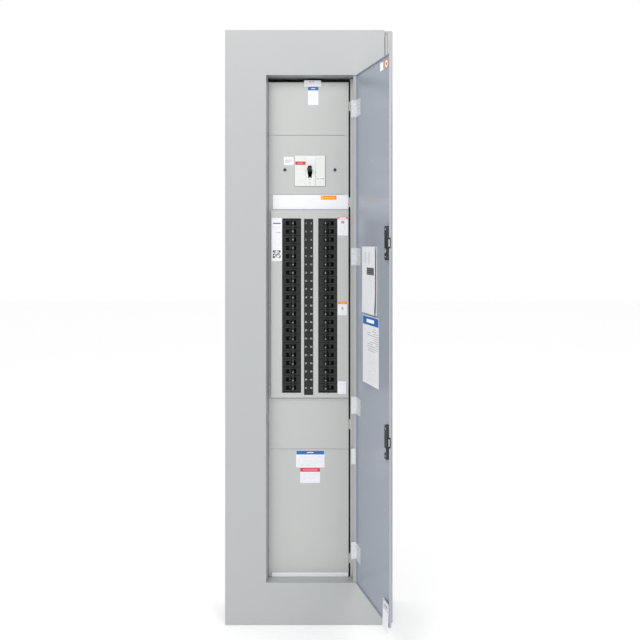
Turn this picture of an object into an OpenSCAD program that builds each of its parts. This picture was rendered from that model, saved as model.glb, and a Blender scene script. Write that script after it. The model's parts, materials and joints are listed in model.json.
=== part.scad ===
// Surface-mounted lighting panelboard with a hinged trim, a hinged door in the trim,
// a three-pole main breaker and two columns of branch breakers.
// X runs to the right, Z up, and the front faces -Y. The origin is on the back face of the
// box, at the centre of its four wall-mounting holes. The door is drawn standing open.

/* [Cabinet] */
// Overall width of the box
cabinet_w = 508; // [506:1:512]
// Overall height of the box and of the trim
cabinet_h = 1810; // [1800:5:1830]
// Depth of the steel box behind the trim
box_d = 146; // [146:1:152]
// Depth of the trim pan in front of the box
trim_d = 14; // [14:0.5:15]
// Thickness of the painted sheet steel
steel_t = 1.6; // [1.5:0.1:1.7]
// Width of the flat frame around the mouth of the box
box_lip = 22; // [18:1:24]
// Diameter of the four wall-mounting holes
wall_hole_d = 11; // [8:0.5:13]
// Distance of the wall-mounting holes from the centre line
wall_hole_x = 178; // [160:1:190]
// Height of the wall-mounting holes above and below the centre
wall_hole_z = 838; // [820:1:850]

/* [Door] */
// Left edge of the door opening, from the centre line
opening_left = 129.3; // [129:0.1:130]
// Right edge of the door opening, from the centre line
opening_right = 153.8; // [153.6:0.1:154.1]
// Top edge of the door opening, above the centre
opening_top = 768; // [766:1:772]
// Bottom edge of the door opening, below the centre
opening_bottom = 777; // [775:1:780]
// Gap between the door and the edge of its opening
door_gap = 1.5; // [1.3:0.1:1.7]
// Angle at which the door stands open
door_open = 111.2; // [0:0.1:115]
// Depth of the folded edge of the door
door_return = 4.4; // [3:0.1:5]

/* [Interior] */
// Distance from the face of the trim back to the dead front plates
plate_setback = 40; // [40:0.5:42]
// Height of the branch cover above the dead front plates
cover_raise = 8; // [7.5:0.1:8.5]
// Half of the width of the branch cover, and the right edge of the plates
plate_half_w = 119.5; // [119:0.1:120]
// Left edge of the plates, from the centre line
plate_left = 128.3; // [127.5:0.1:128.5]
// Thickness of the plates and brackets inside
plate_t = 1.6; // [1.5:0.1:1.6]

/* [Breakers] */
// Width of one breaker pole, and the distance from one pole to the next
pole_pitch = 25.4; // [25.3:0.05:25.4]
// Angle of a branch handle from straight out, when it is on
handle_tilt = 17; // [12:1:18]
// Angle of the main handle from straight out, when it is on
main_tilt = 16; // [10:1:17]

/* [Hidden] */

$fn = 48;
eps = 1; // how far a cutting shape runs past the face that it cuts

paint = "#c9ccc9";
plate_paint = "#b4b8b2";
door_paint = "#a3adb6";
zinc = "#c3c8cc";
copper = "#c07a4a";
tin = "#b9bcbe";
insulator = "#3a3330";
moulding = "#1c1d20";
card = "#f1f2f0";

half_w = cabinet_w / 2;
half_h = cabinet_h / 2;
box_front = -box_d;
trim_face = box_front - trim_d;
trim_inner = trim_face + steel_t;
plate_face = trim_face + plate_setback;
plate_back = plate_face + plate_t;
cover_face = plate_face - cover_raise;
flange_back = plate_back + 0.4; // back edge of the flange around the door opening
top_flange_back = plate_back + 25;

// Piano hinge between the box and the trim
trim_right = half_w - 23;
trim_pivot = [trim_right + 4.2, trim_face + 8];
trim_knuckle_r = 3.6;
trim_pin_r = 2;
pin_clearance = 0.06;
trim_hinge_h = 1776;
knuckle_count = 15;
knuckle_pitch = trim_hinge_h / knuckle_count;
knuckle_gap = 0.5;
trim_leaf_face = trim_pivot.y + 3; // front of the leaf that carries the trim

// Door, its hinges and its latches, all placed as they are with the door shut
ledge_in = 135.6;
ledge_face = trim_face + 6.4;
door_pivot = [opening_right - 0.5, trim_face - 3.6];
door_knuckle_r = 3.2;
door_pin_r = 1.5;
hinge_zs = [666, 215, -238, -681];
hinge_h = 52;
fixed_knuckle_h = 24;
stop_z = -394;
door_left = -opening_left + door_gap;
door_right = opening_right - door_gap;
door_bottom = -opening_bottom + door_gap;
door_top = opening_top - door_gap;
latch_w = 20;
latch_h = 92;
latch_x = door_left + 1.9 + latch_w / 2;
latch_back = trim_face + 11.6;
upper_latch_z = 257;
lower_latch_z = -279;
handle_drop = 21; // how far the axis of the handle lies below the middle of its latch
cup_r = 8.4;
cup_floor = trim_face + 5;
spindle_r = 5;
lock_r = 2.6;
bolt_h = 19;
bolt_front = trim_face + 4.6;
bolt_back = bolt_front + 4;
bolt_tip = door_left + 0.3;
strike_h = 28;

// Interior
pan_half_w = 116;
pan_half_h = 735;
pan_back = -14;
pan_front = pan_back - plate_t;
stud_xs = [-100, 100];
stud_zs = [-700, -255, 375, 700];
stud_hole_r = 3.4;
top_plate_z = [590.6, 754];
main_plate_z = [407.6, 589.6];
band_z = [360.4, 406.6];
cover_z = [-221, 359];
lower_plate_z = [-380.6, -223.4];
bottom_plate_z = [-763, -381.6];
rail_left = 128.5;
rail_right = 133.6;
rail_z = [-776, 754];
rail_bar_x = 125; // left edge of the bar along the right rail
rail_bar_top = 764;
rail_screw_x = -125.4;
rail_screw_zs = [751, 726, 601, 564, 380, 318, 65, -188, -244, -367, -395];
plate_screw_x = 77.4;
plate_screw_z = 483;

// Branch breakers, in rows counted from 0 at the top
row_count = 21;
rows_centre_z = 63.45;
case_w = 25;
case_in = 22;
case_out = 97;
case_back = -56.5;
case_front = cover_face + 10.5;
nose_in = 27;
nose_out = 84.4;
nose_face = cover_face + 3;
window_in = 26.3;
window_out = 85.1;
window_z = [-205.7, 332.6];
well_in = 43;
well_out = 74;
well_w = 13;
handle_pivot = [58.5, nose_face + 15];
drum_r = 12;
drum_clearance = 0.5;
handle_w = 11;
lever_reach = 29;
number_strip_x = [-17.3, 10.8];
number_strip_z = [-212, 331];

// Main breaker
main_z = 479.75;
main_size = [105, 160];
main_nose = [95.2, 95.7];
main_cutout = 96.6;
main_back = -34;
main_case_front = plate_face + 7;
main_nose_face = plate_face - 2;
main_pivot = [main_nose_face + 14, 477];
main_drum_r = 12.5;
main_slot = [15, 38];
main_lever_reach = 30;
pole_xs = [-34, 0, 34];
trip_z = 441;
trip_r = 3.5;

// Bus bars
bus_xs = [-16, 0, 16];
bus_w = 10;
bus_back = -40;
bus_front = -46;
strap_back = -52;
strap_front = -55;
strap_h = 14;
strap_half_w = 44;
bus_z = [-212, 346];

function row_z(row) = rows_centre_z + ((row_count - 1) / 2 - row) * pole_pitch;

// Box between two opposite corners
module block(a, b) {
    translate([min(a.x, b.x), min(a.y, b.y), min(a.z, b.z)])
        cube([abs(a.x - b.x), abs(a.y - b.y), abs(a.z - b.z)]);
}

// Rectangle with round corners, centred
module rounded(w, h, r) {
    square([w - 2 * r, h], center = true);
    square([w, h - 2 * r], center = true);
    for (x = [-1, 1], y = [-1, 1]) translate([x * (w / 2 - r), y * (h / 2 - r)]) circle(r);
}

// Rectangle from two ranges
module span(xs, ys) {
    translate([xs[0], ys[0]]) square([xs[1] - xs[0], ys[1] - ys[0]]);
}

// Outline drawn in X and Z, made solid from one depth forward to another
module frontal(back, front) {
    translate([0, back, 0]) rotate([90, 0, 0]) linear_extrude(back - front) children();
}

// Round bar or hole that runs forward from one depth to another
module rod(x, z, r, back, front) {
    translate([x, back, z]) rotate([90, 0, 0]) cylinder(r = r, h = back - front);
}

// Turns what is drawn on the shut door to where the open door stands
module on_door() {
    translate(door_pivot) rotate([0, 0, door_open]) translate(-door_pivot) children();
}

// Back and two sides, as three sheets with a hairline seam between them
module enclosure_box() {
    seam = 0.1;
    sheet_half_h = half_h - steel_t;
    color(paint) {
        difference() {
            block([-half_w + steel_t + seam, 0, -sheet_half_h], [half_w - steel_t - seam, -steel_t, sheet_half_h]);
            for (x = [-1, 1], z = [-1, 1])
                rod(x * wall_hole_x, z * wall_hole_z, wall_hole_d / 2, eps, -steel_t - eps);
        }
        for (s = [-1, 1])
            block([s * half_w, 0, -sheet_half_h], [s * (half_w - steel_t), box_front, sheet_half_h]);
    }
}

// Flat frame welded into the mouth of the box
module mouth_frame() {
    color(paint) frontal(box_front + steel_t, box_front) difference() {
        square([cabinet_w - 2 * steel_t, cabinet_h - 2 * steel_t], center = true);
        square([cabinet_w - 2 * (steel_t + box_lip), cabinet_h - 2 * (steel_t + box_lip)], center = true);
    }
}

// End of the box, drawn for the top: a plate with side tabs and conduit knockouts
module end_wall() {
    under = half_h - steel_t;
    tab_h = 18;
    knockout_d = [22, 28, 34, 28, 22];
    knockout_cut = 0.6;
    difference() {
        union() {
            block([-half_w, 0, under], [half_w, box_front, half_h]);
            for (s = [-1, 1])
                block([s * (half_w - steel_t), -tab_h, under - tab_h],
                      [s * (half_w - 2 * steel_t), box_front + tab_h, under]);
        }
        for (i = [0:4]) translate([(i - 2) * 80, -box_d / 2, half_h - knockout_cut]) difference() {
            cylinder(d = knockout_d[i], h = eps);
            translate([0, 0, -eps]) cylinder(d = knockout_d[i] - 1.4, h = 3 * eps);
        }
    }
}

module end_walls() { color(paint) for (turn = [0, 180]) rotate([0, turn, 0]) end_wall(); }

// Knuckles of the piano hinge, each joined to its leaf by a web on one side
module trim_knuckles(first, side, web_reach, web_back) {
    length = knuckle_pitch - knuckle_gap;
    for (i = [first : 2 : knuckle_count - 1])
        translate([trim_pivot.x, trim_pivot.y, -trim_hinge_h / 2 + i * knuckle_pitch + knuckle_gap / 2])
            difference() {
                union() {
                    cylinder(r = trim_knuckle_r, h = length);
                    block([0, web_back - trim_pivot.y, 0], [side * web_reach, 2, length]);
                }
                translate([0, 0, -eps]) cylinder(r = trim_pin_r + pin_clearance, h = length + 2 * eps);
            }
}

// Strip along the right side of the box, and a cover strip over the side behind it
module hinge_strip() {
    strip_t = 2;
    seam = 0.1;
    right = half_w + steel_t;
    color(paint) {
        block([trim_pivot.x + 4.4, box_front, -half_h + 2], [right, box_front - strip_t, half_h - 2]);
        block([half_w, box_front + seam, -half_h + 2], [right, box_front + 12, half_h - 2]);
        trim_knuckles(0, 1, 4.6, box_front);
    }
}

module trim_hinge_pin() {
    head_h = 1.5;
    color(zinc) translate([trim_pivot.x, trim_pivot.y, -trim_hinge_h / 2 - 0.3]) {
        cylinder(r = trim_pin_r, h = trim_hinge_h + 0.6);
        translate([0, 0, trim_hinge_h + 0.6]) cylinder(r = trim_knuckle_r - 0.4, h = head_h);
        translate([0, 0, -head_h]) cylinder(r = trim_knuckle_r - 0.4, h = head_h);
    }
}

module interior_pan() {
    flange = 12;
    hat_x = [82, 96];
    hat_z = [-212, 338];
    color(zinc) difference() {
        union() {
            frontal(pan_back, pan_front) square([2 * pan_half_w, 2 * pan_half_h], center = true);
            for (s = [-1, 1]) {
                block([s * pan_half_w, pan_back, -pan_half_h],
                      [s * (pan_half_w - plate_t), pan_back - flange, pan_half_h]);
                for (x = [hat_x[0], hat_x[1] - plate_t])
                    block([s * x, pan_front, hat_z[0]], [s * (x + plate_t), case_back + 0.2, hat_z[1]]);
                block([s * hat_x[0], case_back + 0.2 + plate_t, hat_z[0]],
                      [s * hat_x[1], case_back + 0.2, hat_z[1]]);
            }
        }
        for (x = stud_xs, z = stud_zs) rod(x, z, stud_hole_r, pan_back + eps, pan_front - eps);
    }
}

module interior_studs() {
    color(zinc) for (x = stud_xs, z = stud_zs) {
        rod(x, z, 6, -steel_t, pan_back);
        rod(x, z, stud_hole_r - 0.2, -steel_t, pan_front - 9);
        translate([x, pan_front, z]) rotate([90, 0, 0]) cylinder(r = 5.8, h = 5, $fn = 6);
    }
}

module bus_supports() {
    bar_stand_z = [-310, -80];
    color(insulator) {
        for (z = [-200, -24, 152, 336]) difference() {
            block([-30, pan_front, z - 12], [30, bus_back, z + 12]);
            for (s = [-1, 1]) block([s * 24, pan_front - 6, z - 13], [s * 31, bus_back - eps, z + 13]);
        }
        for (z = bar_stand_z) block([-217, -steel_t, z - 12], [-197, -30, z + 12]);
    }
}

// One phase: an upright bar, and a cross strap at each third row, held off the other bars by a boss
module phase_bus(phase) {
    x = bus_xs[phase];
    color(copper) {
        block([x - bus_w / 2, bus_back, bus_z[0]], [x + bus_w / 2, bus_front, bus_z[1]]);
        for (row = [phase : 3 : row_count - 1]) {
            z = row_z(row);
            block([x - bus_w / 2, bus_front, z - strap_h / 2], [x + bus_w / 2, strap_back, z + strap_h / 2]);
            block([-strap_half_w, strap_back, z - strap_h / 2], [strap_half_w, strap_front, z + strap_h / 2]);
        }
    }
}

module phase_bus_a() { phase_bus(0); }

module phase_bus_b() { phase_bus(1); }

module phase_bus_c() { phase_bus(2); }

// Terminal bar with a wire hole across it and a clamping screw at each place
module terminal_bar(x, back, places, pitch) {
    w = 14;
    end = 12;
    length = (places - 1) * pitch + 2 * end;
    wire_r = 3.2;
    screw_r = 2.4;
    head_r = 3.6;
    difference() {
        block([x - w / 2, back, -length / 2], [x + w / 2, back - w, length / 2]);
        for (i = [0 : places - 1]) {
            z = -length / 2 + end + i * pitch;
            translate([x, back - 6, z]) rotate([0, 90, 0]) cylinder(r = wire_r, h = w + 2 * eps, center = true);
            rod(x, z, screw_r + 0.1, back - 6, back - w - eps);
        }
    }
    for (i = [0 : places - 1]) {
        z = -length / 2 + end + i * pitch;
        rod(x, z, screw_r, back - 10, back - w);
        difference() {
            rod(x, z, head_r, back - w, back - w - 2.4);
            block([x - head_r - eps, back - w - 1.2, z - 0.5], [x + head_r + eps, back - w - 3, z + 0.5]);
        }
    }
}

module neutral_bar() {
    color(tin) translate([0, 0, -195]) terminal_bar(-207, -30, 18, 14);
}

module ground_bar() {
    color(copper) translate([0, 0, -560]) {
        terminal_bar(202, -16, 14, 14);
        for (z = [-70, 70]) block([197, -steel_t, z - 6], [207, -16, z + 6]);
    }
}

module main_breaker_case() {
    terminal_h = 16;
    color(moulding) difference() {
        union() {
            translate([0, 0, main_z])
                frontal(main_back, main_case_front) rounded(main_size.x, main_size.y, 2);
            translate([0, 0, main_z])
                frontal(main_case_front, main_nose_face) rounded(main_nose.x, main_nose.y, 1.5);
        }
        block([-main_slot.x / 2, main_nose_face - eps, main_pivot[1] - main_slot.y / 2],
              [main_slot.x / 2, main_pivot[0], main_pivot[1] + main_slot.y / 2]);
        translate([0, main_pivot[0], main_pivot[1]]) rotate([0, 90, 0])
            cylinder(r = main_drum_r + drum_clearance, h = main_slot.x, center = true);
        rod(0, trip_z, trip_r + 0.15, main_case_front + 6, main_nose_face - eps);
        for (x = pole_xs) {
            block([x - 8, -40, main_z - main_size.y / 2 - eps], [x + 8, -62, main_z - main_size.y / 2 + terminal_h]);
            block([x - 8, -40, main_z + main_size.y / 2 + eps], [x + 8, -62, main_z + main_size.y / 2 - terminal_h]);
        }
    }
}

module main_breaker_lugs() {
    lug_z = [564, 596];
    tang_top = 14;
    color(tin) for (x = pole_xs) difference() {
        union() {
            block([x - 13, -44, lug_z[0]], [x + 13, -80, lug_z[1]]);
            block([x - 6.5, -46, main_z + main_size.y / 2 - tang_top], [x + 6.5, -50, lug_z[0]]);
        }
        translate([x, -60, lug_z[0] - eps]) cylinder(r = 9, h = lug_z[1] - lug_z[0] + 2 * eps);
        rod(x, (lug_z[0] + lug_z[1]) / 2, 5, -60, -80 - eps);
    }
    color(tin) for (x = pole_xs) difference() {
        rod(x, (lug_z[0] + lug_z[1]) / 2, 4.9, -70, -79);
        translate([x, -75, (lug_z[0] + lug_z[1]) / 2]) rotate([90, 0, 0]) cylinder(r = 2.6, h = 5, $fn = 6);
    }
}

module bus_connectors() {
    foot_z = bus_z[1] - 14;
    top_z = main_z - main_size.y / 2 + 13;
    color(copper) for (i = [0:2]) frontal(bus_front, bus_front - 4) polygon([
        [bus_xs[i] - 5, foot_z], [bus_xs[i] + 5, foot_z], [bus_xs[i] + 5, bus_z[1] + 4],
        [pole_xs[i] + 6, bus_z[1] + 26], [pole_xs[i] + 6, top_z], [pole_xs[i] - 6, top_z],
        [pole_xs[i] - 6, bus_z[1] + 26], [bus_xs[i] - 5, bus_z[1] + 4]]);
}

// Upright strips that carry the dead front plates, on legs from the pan. The right one has a
// raised bar beside it, with a slot between them that bridges cross behind
module deadfront_rails() {
    leg_x = 111;
    leg_h = 30;
    leg_zs = [-720, -305, 383, 680];
    inner = 104;
    outer = [rail_left, plate_half_w];
    color(plate_paint) {
        for (i = [0:1]) {
            s = i == 0 ? -1 : 1;
            difference() {
                union() {
                    block([s * outer[i], plate_back, rail_z[0]], [s * inner, plate_back + plate_t, rail_z[1]]);
                    for (z = leg_zs) {
                        block([s * leg_x, pan_front, z - leg_h / 2],
                              [s * (leg_x + plate_t), plate_back, z + leg_h / 2]);
                        block([s * leg_x, pan_front, z - leg_h / 2],
                              [s * (leg_x - 4), pan_front - plate_t, z + leg_h / 2]);
                    }
                }
                if (i == 0) for (z = rail_screw_zs) rod(rail_screw_x, z, 1.9, plate_back + 4, plate_back - eps);
            }
        }
        block([rail_bar_x, plate_back + plate_t, rail_z[0]], [rail_right, plate_face - 1, rail_bar_top]);
        for (z = leg_zs) block([leg_x, plate_back + plate_t - 0.4, z - leg_h / 2],
            [rail_right, plate_back + 2 * plate_t, z + leg_h / 2]);
    }
}

// Flat dead front plate with a hem folded back along its top and bottom edges
module dead_plate(zs) {
    hem = 5;
    frontal(plate_back, plate_face) difference() {
        span([-plate_left, plate_half_w], zs);
        for (z = rail_screw_zs) translate([rail_screw_x, z]) circle(1.9);
    }
    for (z = [zs[0], zs[1] - plate_t])
        block([-100, plate_back, z], [100, plate_back + hem, z + plate_t]);
}

module deadfront_top_plate() { color(plate_paint) dead_plate(top_plate_z); }

module deadfront_main_plate() {
    color(plate_paint) difference() {
        dead_plate(main_plate_z);
        translate([0, 0, main_z]) frontal(plate_back + eps, plate_face - eps)
            rounded(main_cutout, main_cutout, 2);
        for (s = [-1, 1]) rod(s * plate_screw_x, plate_screw_z, 2.3, plate_back + eps, plate_face - eps);
    }
}

module deadfront_label_band() {
    color(card) frontal(plate_back, plate_face - 0.4) span([-115, 119], band_z);
}

module deadfront_branch_cover() {
    height = cover_z[1] - cover_z[0];
    mid_z = (cover_z[0] + cover_z[1]) / 2;
    color(plate_paint) difference() {
        translate([0, 0, mid_z]) frontal(plate_back, cover_face) rounded(2 * plate_half_w, height, 1.5);
        translate([0, 0, mid_z]) frontal(plate_back + eps, cover_face + plate_t)
            square([2 * (plate_half_w - plate_t), height - 2 * plate_t], center = true);
        for (s = [-1, 1]) frontal(plate_back, cover_face - eps) translate([s * (window_in + window_out) / 2,
            (window_z[0] + window_z[1]) / 2])
            rounded(window_out - window_in, window_z[1] - window_z[0], 1);
    }
}

module deadfront_lower_plate() {
    color(plate_paint) {
        dead_plate(lower_plate_z);
        // doubled edge next to the branch cover
        frontal(plate_face, plate_face - 1.2)
            span([-plate_half_w, plate_half_w], [lower_plate_z[1] - 7.6, lower_plate_z[1]]);
    }
}

module deadfront_bottom_plate() { color(plate_paint) dead_plate(bottom_plate_z); }

// Bright folded strip under the lowest plate
module deadfront_sill() {
    top = bottom_plate_z[0] - 0.4;
    color(zinc) {
        block([-118, plate_back, top], [118, plate_face - 1, top - 11.2]);
        block([-118, plate_back, top - 11.2], [118, plate_face - 1, top - 12.8]);
        block([-103, plate_back + 14, top - 11.2], [103, plate_back, top - 12.8]);
    }
}

// Screw from a panel: a head on the face and a shank through it
module panel_screw(x, z, face, head_r, shank_r) {
    difference() {
        rod(x, z, head_r, face, face - 2.2);
        for (turn = [0, 90]) translate([x, face - 2.2, z]) rotate([0, turn, 0])
            cube([head_r * 1.3, 1.6, 0.9], center = true);
    }
    rod(x, z, shank_r, face + 6, face);
}

module deadfront_screws() {
    color(zinc) {
        for (z = rail_screw_zs)
            panel_screw(rail_screw_x, z, z < band_z[1] && z > lower_plate_z[1] ? plate_back : plate_face, 2.8, 1.8);
        for (s = [-1, 1]) panel_screw(s * plate_screw_x, plate_screw_z, plate_face, 4.2, 2.1);
    }
}

module circuit_number_strip() {
    color(moulding) frontal(cover_face, cover_face - 1.2) span(number_strip_x, number_strip_z);
}

// One pole of a branch breaker: a case, its nose in the window, and the well for its handle
module pole_case(s, z) {
    low = z - case_w / 2;
    high = z + case_w / 2;
    difference() {
        union() {
            block([s * case_in, case_back, low], [s * case_out, case_front, high]);
            block([s * nose_in, case_front, low], [s * nose_out, nose_face, high]);
        }
        block([s * well_in, nose_face - eps, z - well_w / 2], [s * well_out, handle_pivot.y, z + well_w / 2]);
        translate([s * handle_pivot.x, handle_pivot.y, z])
            cylinder(r = drum_r + drum_clearance, h = well_w, center = true);
        // shallow grooves along the two long edges of the nose
        for (edge = [low, high]) block([s * (nose_in - eps), nose_face - eps, edge - 0.8],
            [s * (nose_out + eps), nose_face + 1, edge + 0.8]);
        // wire entry and screw pocket at the load end
        block([s * (case_out + eps), -74, z - 4.5], [s * (case_out - 14), -84, z + 4.5]);
        block([s * 88, case_front - eps, z - 3.5], [s * 94, -84, z + 3.5]);
    }
}

module left_breaker_cases() {
    color(moulding) for (row = [0 : row_count - 1]) pole_case(-1, row_z(row));
}

module right_breaker_cases() {
    color(moulding) for (row = [0 : row_count - 1]) pole_case(1, row_z(row));
}

// Handle of a three-pole breaker: a drum and a lever for each pole, joined by a tie bar
module branch_handle(s, n) {
    tie = 5;
    color(moulding) translate([s * handle_pivot.x, handle_pivot.y, row_z(3 * n - 2)])
        rotate([0, 0, -s * handle_tilt]) {
            for (k = [-1:1]) translate([0, 0, k * pole_pitch]) {
                cylinder(r = drum_r, h = handle_w, center = true);
                linear_extrude(handle_w, center = true) union() {
                    polygon([[-5, 0], [5, 0], [3.6, -lever_reach], [-3.6, -lever_reach]]);
                    translate([0, -lever_reach]) circle(3.6);
                }
            }
            translate([0, -lever_reach + 3, 0])
                cube([tie, tie, 2 * pole_pitch + handle_w - 2], center = true);
        }
}

module main_breaker_handle() {
    w = main_slot.x - 1;
    color(moulding) translate([0, main_pivot[0], main_pivot[1]]) rotate([-main_tilt, 0, 0]) {
        rotate([0, 90, 0]) cylinder(r = main_drum_r, h = w, center = true);
        rotate([90, 0, 90]) linear_extrude(w - 2, center = true) union() {
            polygon([[0, -6], [0, 6], [-main_lever_reach, 4.5], [-main_lever_reach, -4.5]]);
            translate([-main_lever_reach, 0]) circle(4.5);
        }
    }
}

module trip_button() {
    color(card) rod(0, trip_z, trip_r, main_case_front + 2, main_nose_face - 1.2);
}

module trim_cover() {
    rim_back = box_front - 0.3;
    face_w = [-half_w, trim_right];
    top = opening_top;
    bottom = -opening_bottom;
    color(paint) difference() {
        union() {
            frontal(trim_inner, trim_face) difference() {
                span(face_w, [-half_h, half_h]);
                span([-opening_left, opening_right], [bottom, top]);
            }
            block([-half_w, trim_inner, -half_h], [-half_w + steel_t, rim_back, half_h]);
            block([trim_right, trim_inner, -half_h], [trim_right - steel_t, trim_leaf_face, half_h]);
            for (s = [-1, 1]) block([-half_w, trim_inner, s * half_h],
                [trim_right, trim_leaf_face, s * (half_h - steel_t)]);
            // flange around the opening, with a ledge for the hinges on the right
            block([-opening_left - steel_t, trim_inner, bottom - steel_t],
                  [-opening_left, flange_back, top + steel_t]);
            for (edge = [[bottom - steel_t, flange_back], [top, top_flange_back]]) {
                block([-opening_left, trim_inner, edge[0]], [ledge_in + steel_t, edge[1], edge[0] + steel_t]);
                block([ledge_in, trim_inner, edge[0]],
                      [opening_right + steel_t, ledge_face + steel_t, edge[0] + steel_t]);
            }
            block([opening_right, trim_inner, bottom], [opening_right + steel_t, ledge_face + steel_t, top]);
            block([ledge_in, ledge_face, bottom], [opening_right, ledge_face + steel_t, top]);
            block([ledge_in, ledge_face, bottom], [ledge_in + steel_t, flange_back, top]);
        }
        for (z = [upper_latch_z, lower_latch_z])
            block([-opening_left + eps, bolt_front - 2, z - strike_h / 2],
                  [-opening_left - steel_t - eps, bolt_back + 4, z + strike_h / 2]);
    }
}

module trim_hinge_leaf() {
    leaf_t = 1.6;
    color(zinc) {
        block([trim_right - 30, trim_leaf_face, -half_h + 14],
              [trim_right + 0.4, trim_leaf_face + leaf_t, half_h - 14]);
        trim_knuckles(1, -1, 4, trim_leaf_face + leaf_t);
    }
}

// Angle on the ledge: a leaf that reaches past the edge of the ledge, and a leg behind its end
module ledge_angle(right, half_h) {
    arm = 129.5;
    leg_back = ledge_face + 13.6;
    block([arm, ledge_face, -half_h], [right, ledge_face - plate_t, half_h]);
    block([arm, leg_back, -half_h], [arm + plate_t, ledge_face - plate_t, half_h]);
}

module door_hinge_brackets() {
    rivet_r = 2.6;
    rivet_face = ledge_face - plate_t;
    color(zinc) {
        for (z = hinge_zs) {
            translate([0, 0, z]) ledge_angle(door_pivot.x - 0.2, hinge_h / 2);
            for (k = [-1, 1]) rod(ledge_in + 9, z + k * 16, rivet_r, rivet_face, rivet_face - 1.2);
            difference() {
                union() {
                    block([door_pivot.x - 1.8, ledge_face, z - fixed_knuckle_h / 2],
                          [door_pivot.x - 0.2, door_pivot.y, z + fixed_knuckle_h / 2]);
                    translate([door_pivot.x, door_pivot.y, z])
                        cylinder(r = door_knuckle_r, h = fixed_knuckle_h, center = true);
                }
                translate([door_pivot.x, door_pivot.y, z])
                    cylinder(r = door_pin_r + pin_clearance, h = hinge_h, center = true);
            }
        }
        // stop bracket between the two lower hinges
        translate([0, 0, stop_z]) ledge_angle(143, 24);
    }
}

module door_panel() {
    notch_x = door_pivot.x - 3;
    width = door_right - door_left;
    height = door_top - door_bottom;
    mid = [(door_left + door_right) / 2, (door_bottom + door_top) / 2];
    color(door_paint) on_door() difference() {
        union() {
            frontal(trim_inner, trim_face) translate(mid) rounded(width, height, 1.2);
            frontal(trim_inner + door_return, trim_inner) translate(mid) difference() {
                rounded(width, height, 1.2);
                square([width - 2 * steel_t, height - 2 * steel_t], center = true);
            }
        }
        for (z = hinge_zs) block([notch_x, trim_face - eps, z - hinge_h / 2 - 1],
            [door_right + eps, trim_inner + door_return + eps, z + hinge_h / 2 + 1]);
        for (z = [upper_latch_z, lower_latch_z]) {
            rod(latch_x, z - handle_drop, cup_r + 1.8, trim_inner + eps, trim_face - eps);
            block([door_left - eps, trim_inner, z - 14.6],
                  [door_left + steel_t + 0.2, trim_inner + door_return + eps, z + 14.6]);
        }
    }
}

module door_hinge_leaves() {
    leaf_t = 1.6;
    leaf_face = trim_inner;
    end_h = (hinge_h - fixed_knuckle_h) / 2 - 0.4;
    color(zinc) on_door() for (z = hinge_zs) difference() {
        union() {
            block([door_pivot.x - 32, leaf_face, z - hinge_h / 2],
                  [door_pivot.x - 3.4, leaf_face + leaf_t, z + hinge_h / 2]);
            for (s = [-1, 1]) translate([door_pivot.x, door_pivot.y, z + s * (hinge_h - end_h) / 2]) {
                cylinder(r = door_knuckle_r, h = end_h, center = true);
                block([-2.8, 0, -end_h / 2], [-1.2, leaf_face + leaf_t - door_pivot.y, end_h / 2]);
                block([-4, leaf_face - door_pivot.y, -end_h / 2],
                      [-1.2, leaf_face + leaf_t - door_pivot.y, end_h / 2]);
            }
            for (k = [-1, 1]) rod(door_pivot.x - 22, z + k * 16, 2.6, leaf_face + leaf_t + 1.2, leaf_face + leaf_t);
        }
        translate([door_pivot.x, door_pivot.y, z])
            cylinder(r = door_pin_r + pin_clearance, h = hinge_h + 2 * eps, center = true);
    }
}

module door_hinge_pins() {
    head_h = 1.2;
    color(zinc) on_door() for (z = hinge_zs) translate([door_pivot.x, door_pivot.y, z]) {
        cylinder(r = door_pin_r, h = hinge_h + 0.4, center = true);
        for (s = [-1, 1]) translate([0, 0, s * (hinge_h + 0.4 + head_h) / 2])
            cylinder(r = door_pin_r + 1, h = head_h, center = true);
    }
}

// Shallow frame on the back of the door that holds the circuit directory
module directory_frame() {
    xs = [door_pivot.x - 174, door_pivot.x - 52];
    zs = [52, 247];
    lip = 3;
    color(card) on_door() {
        frontal(trim_inner + 0.8, trim_inner) span(xs, zs);
        frontal(trim_inner + 1.8, trim_inner + 0.8) difference() {
            span(xs, zs);
            span([xs[0] + lip, xs[1] - lip], [zs[0] + lip, zs[1] + lip]);
        }
    }
}

// Card tag that hangs over the folded bottom edge of the door
module door_tag() {
    back = trim_inner + door_return + 1;
    color(card) on_door() frontal(back, back - 0.8)
        span([door_left + 1.5, door_left + 43.5], [door_bottom + 1.5, door_bottom + 63]);
}

// Latch body behind the door: a round cup that opens through the door for the handle, and an
// oval collar around the bolt
module latch_housing(z) {
    guide = 0.3;
    collar_left = door_left - 0.4;
    collar_right = door_left + 4;
    color(moulding) on_door() translate([0, 0, z]) difference() {
        union() {
            translate([latch_x, 0, 0]) frontal(latch_back, trim_inner) rounded(latch_w, latch_h, 4);
            rod(latch_x, -handle_drop, cup_r + 1.4, cup_floor, trim_face);
            translate([collar_left, (bolt_front + bolt_back) / 2, 0]) rotate([90, 0, 90])
                linear_extrude(collar_right - collar_left) rounded(9, 28, 4.4);
        }
        rod(latch_x, -handle_drop, cup_r, cup_floor, trim_face - eps);
        rod(latch_x, -handle_drop, spindle_r + pin_clearance, latch_back + eps, cup_floor - eps);
        block([collar_left - eps, bolt_front - guide, -bolt_h / 2 - guide],
              [latch_x + 4 + guide, bolt_back + guide, bolt_h / 2 + guide]);
    }
}

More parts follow.
